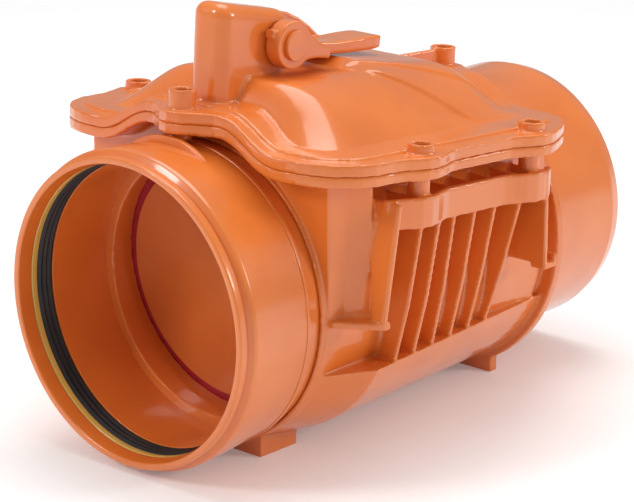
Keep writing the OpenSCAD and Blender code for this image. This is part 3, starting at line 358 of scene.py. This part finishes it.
# Cover: the domed lid with the lever tower, moulded in one piece of the same plastic and screwed down
# on the wavy flange. Long slopes fall from the dome's crest on all sides, stepped strips fan out to
# the outlet end, and the tower's round roof falls the same way.
cover_tilt = math.radians(3.8)
joint_z = 82.5
flange_t = 6.5
dome_rise, dome_wall, foot_step = 30.0, 3.0, 1.8
dome_front, dome_back, dome_half = 2.0, 188.0, 87.0
front_run, front_spread, rear_run, side_run = 14.0, 0.25, 40.0, 56.0
fan_root, fan_blend, fan_edge, fan_fade, crest_fall = 84.0, 10.0, 1.5, 2.5, 0.09
fan_lines = ((35.0, 0.95, 2.4), (22.0, 0.48, 1.8))
hump_h, hump_flat, hump_slope = 15.5, 25.0, 40.0
tower_front, tower_back, tower_half, tower_edge = -4.0, 53.0, 13.0, 9.0
tower_top, tower_cut, tower_wall = 75.2, 61.4, 3.5
roof_lift, roof_fall, roof_r, roof_wall = 4.0, 0.165, 8.0, 2.0
roof_lap, cut_lap, cut_top = 0.6, 0.2, 90.0
skin_pitch, cut_pitch, cut_sink, cut_gap = 0.9, 1.5, 1.0, 5.0
shaft_boss_foot = 43.4
gusset_front, gusset_top_front, rear_boss_x = 150.0, 158.0, 202.0
gusset_rise, gusset_half = 10.0, 1.5


def cover_point(x, y, w):
    """Point in metres from a place along the cover, across it and over its joint, in millimetres."""
    return Vector((
        x * math.cos(cover_tilt) + w * math.sin(cover_tilt), y,
        joint_z - x * math.sin(cover_tilt) + w * math.cos(cover_tilt))) * MM


def hump(y):
    """Rise of the wavy joint at a place across the cover, in millimetres."""
    share = min(max((abs(y) - hump_flat) / hump_slope, 0.0), 1.0)
    return hump_h * (1 + math.cos(math.pi * share)) / 2


def ease(share):
    """Soft start and end between 0 and 1."""
    share = min(max(share, 0.0), 1.0)
    return (1 - math.cos(math.pi * share)) / 2


def swell(share):
    """Round shoulder, steep at its foot and level at its top, between 0 and 1."""
    return math.sin(math.pi / 2 * min(max(share, 0.0), 1.0))


def dome_height(x, y):
    """Height of the dome over the joint: long slopes on all sides, and strips that fan out to the rear."""
    form = swell((x - dome_front) / (front_run + front_spread * abs(y)))
    form *= swell((dome_back - x) / rear_run) * swell((dome_half - abs(y)) / side_run)
    behind = max(x - fan_root, 0.0)
    steps = sum(
        rise * ease((root + behind * spread - abs(y)) / fan_edge + 0.5) for root, spread, rise in fan_lines)
    steps = (steps * ease(behind / fan_blend) - behind * crest_fall) * ease(form * fan_fade)
    return flange_t + max(dome_rise * form + steps, hump(y) + foot_step)


def dome_block(low, high, bay_back, bay_half, pitch):
    """Closed block over the dome's plan between two height rules, with a bay left free at the tower."""
    bm = bmesh.new()
    columns = int((dome_back - dome_front) / pitch) + 1
    rows = int(2 * dome_half / pitch) + 1
    grid = {}
    for i in range(columns):
        for j in range(rows):
            x, y = dome_front + i * pitch, -dome_half + j * pitch
            if x < bay_back and abs(y) < bay_half:
                continue
            grid[i, j] = [bm.verts.new(cover_point(x, y, rule(x, y))) for rule in (low, high)]
    for i, j in list(grid):
        square = [grid.get(key) for key in ((i, j), (i + 1, j), (i + 1, j + 1), (i, j + 1))]
        if all(square):
            bm.faces.new([under for under, _ in reversed(square)])
            bm.faces.new([over for _, over in square])
    partner = dict(grid.values())
    for edge in [e for e in bm.edges if e.is_boundary]:
        a, b = edge.verts
        if a in partner and b in partner:
            bm.faces.new((a, b, partner[b], partner[a]))
    bmesh.ops.recalc_face_normals(bm, faces=bm.faces)
    mesh = bpy.data.meshes.new("dome_block")
    bm.to_mesh(mesh)
    bm.free()
    return mesh


def tower_ring(inset, height):
    """Ring round the tower's plan, drawn in by an inset, at a height that may fall along the cover."""
    front, back, half = tower_front + inset, tower_back - inset, tower_half - inset
    edge = max(tower_edge - inset, 0.4)
    plan = rounded([(front, -half, edge), (back, -half, edge), (back, half, edge), (front, half, edge)])
    return [cover_point(p.x, p.y, height(p.x)) for p in plan]


def tower_roof():
    """Hollow roof of the lever tower, rounded all round and falling towards the outlet."""
    foot = tower_cut - roof_lap

    def roof_ring(wall, turn):
        radius = roof_r - wall
        sink = radius * (1 - math.sin(turn)) + wall
        return tower_ring(wall + radius * (1 - math.cos(turn)), lambda x: max(
            tower_top + roof_lift - roof_fall * (x - tower_front) - sink, foot + cut_lap))

    turns = [math.radians(15 * k) for k in range(7)]
    inner = [roof_ring(roof_wall, turn) for turn in reversed(turns)] + [tower_ring(roof_wall, lambda x: foot)]
    outer = [tower_ring(0.0, lambda x: foot)] + [roof_ring(0.0, turn) for turn in turns]
    return loft(inner + outer)


def trimmed(solid, cutter):
    """Copy of a solid with the cutter's volume taken away."""
    bm = bmesh.new()
    bm.from_mesh(solid)
    bmesh.ops.remove_doubles(bm, verts=bm.verts, dist=1e-6)
    mesh = bpy.data.meshes.new("trimmed")
    bm.to_mesh(mesh)
    bm.free()
    work = bpy.data.objects.new("trimmed", mesh)
    tool = bpy.data.objects.new("cutter", cutter)
    for thing in (work, tool):
        bpy.context.scene.collection.objects.link(thing)
    cut = work.modifiers.new("cut", "BOOLEAN")
    cut.operation = "DIFFERENCE"
    cut.solver = "EXACT"
    cut.object = tool
    result = bpy.data.meshes.new_from_object(work.evaluated_get(bpy.context.evaluated_depsgraph_get()))
    for thing in (work, tool):
        bpy.data.objects.remove(thing)
    return result


dome_skin = dome_block(
    lambda x, y: dome_height(x, y) - dome_wall, dome_height,
    tower_back - tower_wall, tower_half - tower_wall, skin_pitch)
above_dome = dome_block(
    lambda x, y: dome_height(x, y) - cut_sink, lambda x, y: shaft_boss_foot,
    tower_back + cut_gap, tower_half + 2 * cut_lap, cut_pitch)
cut_front, cut_back, cut_half = tower_front - 2, tower_back + 2, tower_half + cut_lap
cut_plan = ((cut_front, -cut_half), (cut_back, -cut_half), (cut_back, cut_half), (cut_front, cut_half))
above_tower = loft([[cover_point(x, y, w) for x, y in cut_plan] for w in (tower_cut, cut_top)])
gusset_foot = flange_t + hump_h - 1
gusset_top = flange_t + hump_h + gusset_rise
gusset_side = (
    (gusset_front, gusset_foot), (rear_boss_x, gusset_foot), (rear_boss_x, gusset_top),
    (gusset_top_front, gusset_top))
gusset = loft([[cover_point(x, y, w) for x, w in gusset_side] for y in (-gusset_half, gusset_half)])
lid = trimmed(trimmed(nodes["cover"].data, above_dome), above_tower)
cover = soft_moulding(
    "cover_moulding", lid, body_plastic, skin_mm=0.8, relax=5, most_faces=190000,
    extra=[dome_skin, gusset, tower_roof()])
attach(cover, "housing")
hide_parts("cover")


# Gasket: a cord of the same black rubber, laid in the groove of the body's flange.
# The cover presses it flat, so it is hidden once the screws are tight.
def dress(node, material):
    """Give a CAD node's object one material."""
    nodes[node].data.materials.clear()
    nodes[node].data.materials.append(material)


dress("cover_gasket", black_rubber)


# Steel pieces: cover screws, washers, hinge pin, flap screws, cranks and bolt in bright stainless steel,
# and blued spring clips on the hinge pin. They are drawn, turned or stamped, and left unpainted.
def drawn_stainless(name, colour, dullness):
    """Drawn or stamped stainless steel: a clean grey metal with fine draw marks that break up its shine."""
    material, tree = bare_material(name)
    mark_mm = 1.2
    marks = noise(tree, mark_mm, 5.0)
    rough = add_node(tree, "ShaderNodeMapRange", {
        "Value": marks, "From Min": 0.3, "From Max": 0.7,
        "To Min": dullness - 0.08, "To Max": dullness + 0.1})
    skin = add_node(tree, "ShaderNodeBump", {"Height": marks, "Strength": 0.15, "Distance": 0.02 * MM})
    shader = add_node(tree, "ShaderNodeBsdfPrincipled", {
        "Base Color": hex_linear(colour), "Metallic": 1.0, "Roughness": rough.outputs["Result"],
        "Normal": skin.outputs["Normal"]})
    add_node(tree, "ShaderNodeOutputMaterial", {"Surface": shader.outputs["BSDF"]})
    return material


def pan_head_screws():
    """Node tree that sets a pan-head screw with a cross recess on each point, with its sizes as inputs."""
    tree = bpy.data.node_groups.new("pan_head_screws", "GeometryNodeTree")
    tree.interface.new_socket("Places", in_out="INPUT", socket_type="NodeSocketGeometry")
    for size in ("Head radius", "Head height", "Shank radius", "Recess width", "Tilt"):
        tree.interface.new_socket(size, in_out="INPUT", socket_type="NodeSocketFloat")
    tree.interface.new_socket("Steel", in_out="INPUT", socket_type="NodeSocketMaterial")
    tree.interface.new_socket("Screws", in_out="OUTPUT", socket_type="NodeSocketGeometry")
    given = add_node(tree, "NodeGroupInput").outputs
    ball = add_node(tree, "GeometryNodeMeshUVSphere", {"Segments": 40, "Rings": 20, "Radius": 1.0})
    pan_size = add_node(tree, "ShaderNodeCombineXYZ", {
        "X": given["Head radius"], "Y": given["Head radius"], "Z": given["Head height"]})
    pan = add_node(tree, "GeometryNodeTransform", {
        "Geometry": ball.outputs["Mesh"], "Scale": pan_size.outputs["Vector"]})
    block = add_node(tree, "GeometryNodeMeshCube", {"Size": (4.0, 4.0, 4.0)})
    under = add_node(tree, "GeometryNodeTransform", {
        "Geometry": block.outputs["Mesh"], "Translation": (0, 0, -2.0)})
    slot_size = add_node(tree, "ShaderNodeCombineXYZ", {
        "X": given["Head radius"], "Y": given["Recess width"], "Z": given["Head height"]})
    slot = add_node(tree, "GeometryNodeMeshCube", {"Size": slot_size.outputs["Vector"]})
    lift = add_node(tree, "ShaderNodeCombineXYZ", {"Z": given["Head height"]})
    slots = [add_node(tree, "GeometryNodeTransform", {
        "Geometry": slot.outputs["Mesh"], "Translation": lift.outputs["Vector"],
        "Rotation": (0, 0, turn)}) for turn in (0.0, math.pi / 2)]
    head = pan
    for cutter in (under, *slots):
        head = add_node(tree, "GeometryNodeMeshBoolean", {
            "Mesh 1": head.outputs[0], "Mesh 2": cutter.outputs["Geometry"]}, operation="DIFFERENCE")
    rod = add_node(tree, "GeometryNodeMeshCylinder", {
        "Vertices": 24, "Radius": given["Shank radius"], "Depth": 1.0})
    shank = add_node(tree, "GeometryNodeTransform", {
        "Geometry": rod.outputs["Mesh"], "Translation": (0, 0, -0.5)})
    reach = add_node(tree, "GeometryNodeInputNamedAttribute", {"Name": "reach"}, data_type="FLOAT")
    stretch = add_node(tree, "ShaderNodeCombineXYZ", {"X": 1.0, "Y": 1.0, "Z": reach.outputs["Attribute"]})
    lean = add_node(tree, "ShaderNodeCombineXYZ", {"Y": given["Tilt"]})
    heads = add_node(tree, "GeometryNodeInstanceOnPoints", {
        "Points": given["Places"], "Instance": head.outputs[0], "Rotation": lean.outputs["Vector"]})
    shanks = add_node(tree, "GeometryNodeInstanceOnPoints", {
        "Points": given["Places"], "Instance": shank.outputs["Geometry"], "Rotation": lean.outputs["Vector"],
        "Scale": stretch.outputs["Vector"]})
    both = add_node(tree, "GeometryNodeJoinGeometry")
    tree.links.new(shanks.outputs["Instances"], both.inputs["Geometry"])
    tree.links.new(heads.outputs["Instances"], both.inputs["Geometry"])
    plain = add_node(tree, "GeometryNodeRealizeInstances", {"Geometry": both.outputs["Geometry"]})
    clad = add_node(tree, "GeometryNodeSetMaterial", {
        "Geometry": plain.outputs["Geometry"], "Material": given["Steel"]})
    add_node(tree, "NodeGroupOutput", {"Screws": clad.outputs["Geometry"]})
    return tree


bright_steel = drawn_stainless("stainless_steel", "#C4C6C8", 0.3)
spring_steel = drawn_stainless("blued_spring_steel", "#4B4D52", 0.4)
head_sink, washer_t = 3.0, 1.0
seat_w = flange_t - head_sink + washer_t
front_boss_x, side_bosses_x, side_boss_y = -20.0, (54.0, 151.0), 107.0
front_reach, side_reach, rear_reach = 9.0, 15.0, 3.5
screw_marks = [(front_boss_x, 0.0, front_reach)]
screw_marks += [(x, y, side_reach) for x in side_bosses_x for y in (-side_boss_y, side_boss_y)]
screw_marks += [(rear_boss_x, 0.0, rear_reach)]
marks = bpy.data.meshes.new("screw_marks")
marks.from_pydata([cover_point(x, y, hump(y) + seat_w) for x, y, _ in screw_marks], [], [])
marks.attributes.new("reach", "FLOAT", "POINT").data.foreach_set(
    "value", [(seat_w + reach) * MM for _, _, reach in screw_marks])
holder = bpy.data.objects.new("screw_marks", marks)
bpy.context.scene.collection.objects.link(holder)
setting = holder.modifiers.new("screws", "NODES")
setting.node_group = pan_head_screws()
screw_crease = math.radians(35)
screw_sizes = {
    "Head radius": 4.6 * MM, "Head height": 3.2 * MM, "Shank radius": 2.5 * MM, "Recess width": 1.0 * MM,
    "Tilt": cover_tilt, "Steel": bright_steel}
for item in setting.node_group.interface.items_tree:
    if item.in_out == "INPUT" and item.name in screw_sizes:
        setting[item.identifier] = screw_sizes[item.name]
mesh = bpy.data.meshes.new_from_object(holder.evaluated_get(bpy.context.evaluated_depsgraph_get()))
bpy.data.objects.remove(holder)
cover_screws = new_piece("cover_screws_set", mesh, bright_steel)
mesh.set_sharp_from_angle(angle=screw_crease)
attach(cover_screws, "housing")
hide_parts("cover_screws")
for name in ("screw_washers", "hinge_pin", "flap_screws", "crank_near", "crank_far", "locking_bolt"):
    dress(name, bright_steel)
dress("pin_clips", spring_steel)

# Flap and inner fittings: a moulded orange disc and clamp plate hold a red rubber ring between them,
# and white bushes in the flap's arms turn on the hinge pin. The bolt slides in a grey guide block.
red_rubber = moulded_rubber("red_epdm_rubber", "#A81C28", "#B92B36", 0.42)
flap_plastic = moulded_polypropylene("flap_polypropylene", "#D9712F", "#CF6829", 0.34)
white_acetal = moulded_polypropylene("white_acetal", "#E6E2D6", "#DAD5C7", 0.3)
grey_acetal = moulded_polypropylene("grey_acetal", "#3A3B41", "#303137", 0.35)
for name, material in (
        ("flap_disc", flap_plastic), ("flap_clamp_plate", flap_plastic), ("flap_seal", red_rubber),
        ("flap_bushes", white_acetal), ("bolt_guide", grey_acetal), ("shaft_seals", black_rubber)):
    dress(name, material)

# Lever: forked hand lever moulded in the same plastic, its two eyes keyed on the cranks' square ends.
# A straight arm leaves each eye, a bar joins the arms behind the tower, and a curved paddle is the handle.
cap_low, cap_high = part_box("lever_caps")
pivot = (cap_low + cap_high) / 2
rest_drop = math.radians(9.0)
lever_lean = cover_tilt + rest_drop
eye_in, eye_out, eye_keep = 14.5, 24.0, 12.6
bar_front, arm_end, paddle_end = 25.0, 31.0, 89.0
bar_half, bar_foot, bar_top = eye_out - 1, -5.2, 1.0
lug_front, lug_back, lug_foot, lug_top = -15.2, -9.0, 2.0, 7.0
lug_out, lug_in = -20.5, -eye_in - 0.3
clear_half, clear_end = 30, 110.0


def lever_point(along, y, up):
    """Point in metres from a place along the lever, across it and over its centre line, in millimetres."""
    return pivot + Vector((
        along * math.cos(lever_lean) + up * math.sin(lever_lean), y,
        up * math.cos(lever_lean) - along * math.sin(lever_lean))) * MM


def lever_bar(stations):
    """Closed bar through (along, y from, y to, foot, top) stations of the lever, with small round edges."""
    edge = 1.2
    rings = []
    for along, low, high, foot, top in stations:
        section = rounded([(y, up, edge) for y, up in ((low, foot), (high, foot), (high, top), (low, top))])
        rings.append([lever_point(along, p.x, p.y) for p in section])
    return loft(rings)


near_arm = lever_bar([(along, -eye_out, -eye_in, foot, top) for along, foot, top in (
    (4, -12, 12), (9, -9.6, 9.2), (13, -7.6, 6.8), (17, -6.6, 4.6), (21, -6.1, 2.8), (26, -5.8, 1.8),
    (arm_end, -5.8, 1.5))])
far_arm = lever_bar([
    (4, eye_in, eye_out, -12, 12.2), (12, eye_in, eye_out, -8, 14), (24, eye_in, eye_out, -6, 15.5),
    (34, eye_in - 1, eye_out - 2, -5.8, 15), (42, eye_in - 3, eye_out - 4, -5.8, 12.6),
    (49, eye_in - 5, eye_out - 7, -4.6, 9), (55, eye_in - 7, eye_out - 10, -3.8, 4.8),
    (60, eye_in - 9, eye_out - 13, -3.0, 2.4)])
cross_bar = lever_bar([(along, -bar_half, bar_half, bar_foot, bar_top) for along in (bar_front, arm_end)])
paddle = lever_bar([(along, -half, half, foot, top) for along, half, foot, top in (
    (27, 9.0, -5.6, 1.6), (38, 9.5, -5.4, 1.8), (50, 10.8, -4.4, 2.6), (62, 11.5, -2.9, 4.4),
    (74, 11.8, -1.0, 6.6), (84, 11.5, 0.4, 8.2), (paddle_end, 10.6, 1.6, 8.6))])
stop_lug = lever_bar([(along, lug_out, lug_in, lug_foot, lug_top) for along in (lug_front, lug_back)])
clear_square = [(y * clear_half, up * clear_half) for y, up in ((-1, -1), (1, -1), (1, 1), (-1, 1))]
behind_eyes = loft([[lever_point(along, y, up) for y, up in clear_square] for along in (eye_keep, clear_end)])
lever = soft_moulding(
    "lever_moulding", trimmed(nodes["lever"].data, behind_eyes), body_plastic,
    skin_mm=0.45, relax=10, most_faces=60000, extra=[near_arm, far_arm, cross_bar, paddle, stop_lug])
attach(lever, "lock_lever")
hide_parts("lever")
caps = soft_moulding(
    "lever_end_caps", nodes["lever_caps"].data, body_plastic, skin_mm=0.3, relax=6, most_faces=20000)
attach(caps, "lock_lever")
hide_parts("lever_caps")

# Stage: a matt white floor under the feet, a white room, three soft lamps and the photograph's viewpoint.
# The room looks pure white to the camera and is dimmer in reflections, so the plastic keeps its colour.
floor_z = cad_box[0][2]
floor_mesh = bpy.data.meshes.new("floor")
floor_half = 8
floor_plan = ((-1, -1), (1, -1), (1, 1), (-1, 1))
floor_mesh.from_pydata([(x * floor_half, y * floor_half, floor_z) for x, y in floor_plan], [], [(0, 1, 2, 3)])
floor_paint, tree = bare_material("white_floor")
path = add_node(tree, "ShaderNodeLightPath")
bare = add_node(tree, "ShaderNodeMath", {
    0: path.outputs["Is Camera Ray"], 1: path.outputs["Is Glossy Ray"]}, operation="MAXIMUM")
glow = 0.14
seen = add_node(tree, "ShaderNodeMath", {0: bare.outputs["Value"], 1: glow}, operation="MULTIPLY")
paint = add_node(tree, "ShaderNodeBsdfPrincipled", {
    "Base Color": hex_linear("#F8F8F8"), "Roughness": 0.6, "Emission Color": hex_linear("#FFFFFF"),
    "Emission Strength": seen.outputs["Value"]})
add_node(tree, "ShaderNodeOutputMaterial", {"Surface": paint.outputs["BSDF"]})
floor = new_piece("floor", floor_mesh, floor_paint)

world = bpy.data.worlds.new("studio")
bpy.context.scene.world = world
world.use_nodes = True
tree = world.node_tree
tree.nodes.clear()
path = add_node(tree, "ShaderNodeLightPath")
room_light, room_mirrored = 0.55, 0.3
dim = add_node(tree, "ShaderNodeMapRange", {
    "Value": path.outputs["Is Glossy Ray"], "To Min": room_light, "To Max": room_mirrored})
room = add_node(tree, "ShaderNodeBackground", {
    "Color": hex_linear("#FFFFFF"), "Strength": dim.outputs["Result"]})
paper = add_node(tree, "ShaderNodeBackground", {"Color": hex_linear("#FFFFFF"), "Strength": 1.0})
both = add_node(tree, "ShaderNodeMixShader", {
    0: path.outputs["Is Camera Ray"], 1: room.outputs["Background"], 2: paper.outputs["Background"]})
add_node(tree, "ShaderNodeOutputWorld", {"Surface": both.outputs["Shader"]})


def soft_lamp(name, place, target, size, watts):
    """Square studio lamp that faces a point of the object."""
    lamp = bpy.data.lights.new(name, "AREA")
    lamp.size = size
    lamp.energy = watts
    holder = bpy.data.objects.new(name, lamp)
    bpy.context.scene.collection.objects.link(holder)
    holder.location = place
    holder.rotation_euler = (Vector(target) - Vector(place)).to_track_quat("-Z", "Y").to_euler()


aim = (0.1, 0.0, 0.02)
soft_lamp("top_light", (0.3, 0.2, 1.6), aim, 1.2, 16)
soft_lamp("left_light", (-1.4, 0.7, 1.0), aim, 0.4, 9)
soft_lamp("right_light", (0.9, -1.5, 0.7), aim, 0.4, 8)

image_w = 634
focal_px = 2840.0
sensor_mm = 36.0
azimuth, elevation = math.radians(48.32), math.radians(17.09)
viewpoint = (-1.0798, -1.0424, 0.4821)
lens = bpy.data.cameras.new("photo_camera")
lens.sensor_fit = "HORIZONTAL"
lens.sensor_width = sensor_mm
lens.lens = sensor_mm * focal_px / image_w
lens.clip_end = 50
camera = bpy.data.objects.new("photo_camera", lens)
bpy.context.scene.collection.objects.link(camera)
camera.location = viewpoint
sight = Vector((
    math.sin(azimuth) * math.cos(elevation), math.cos(azimuth) * math.cos(elevation), -math.sin(elevation)))
camera.rotation_euler = sight.to_track_quat("-Z", "Y").to_euler()
bpy.context.scene.camera = camera
bpy.context.scene.view_settings.view_transform = "Standard"
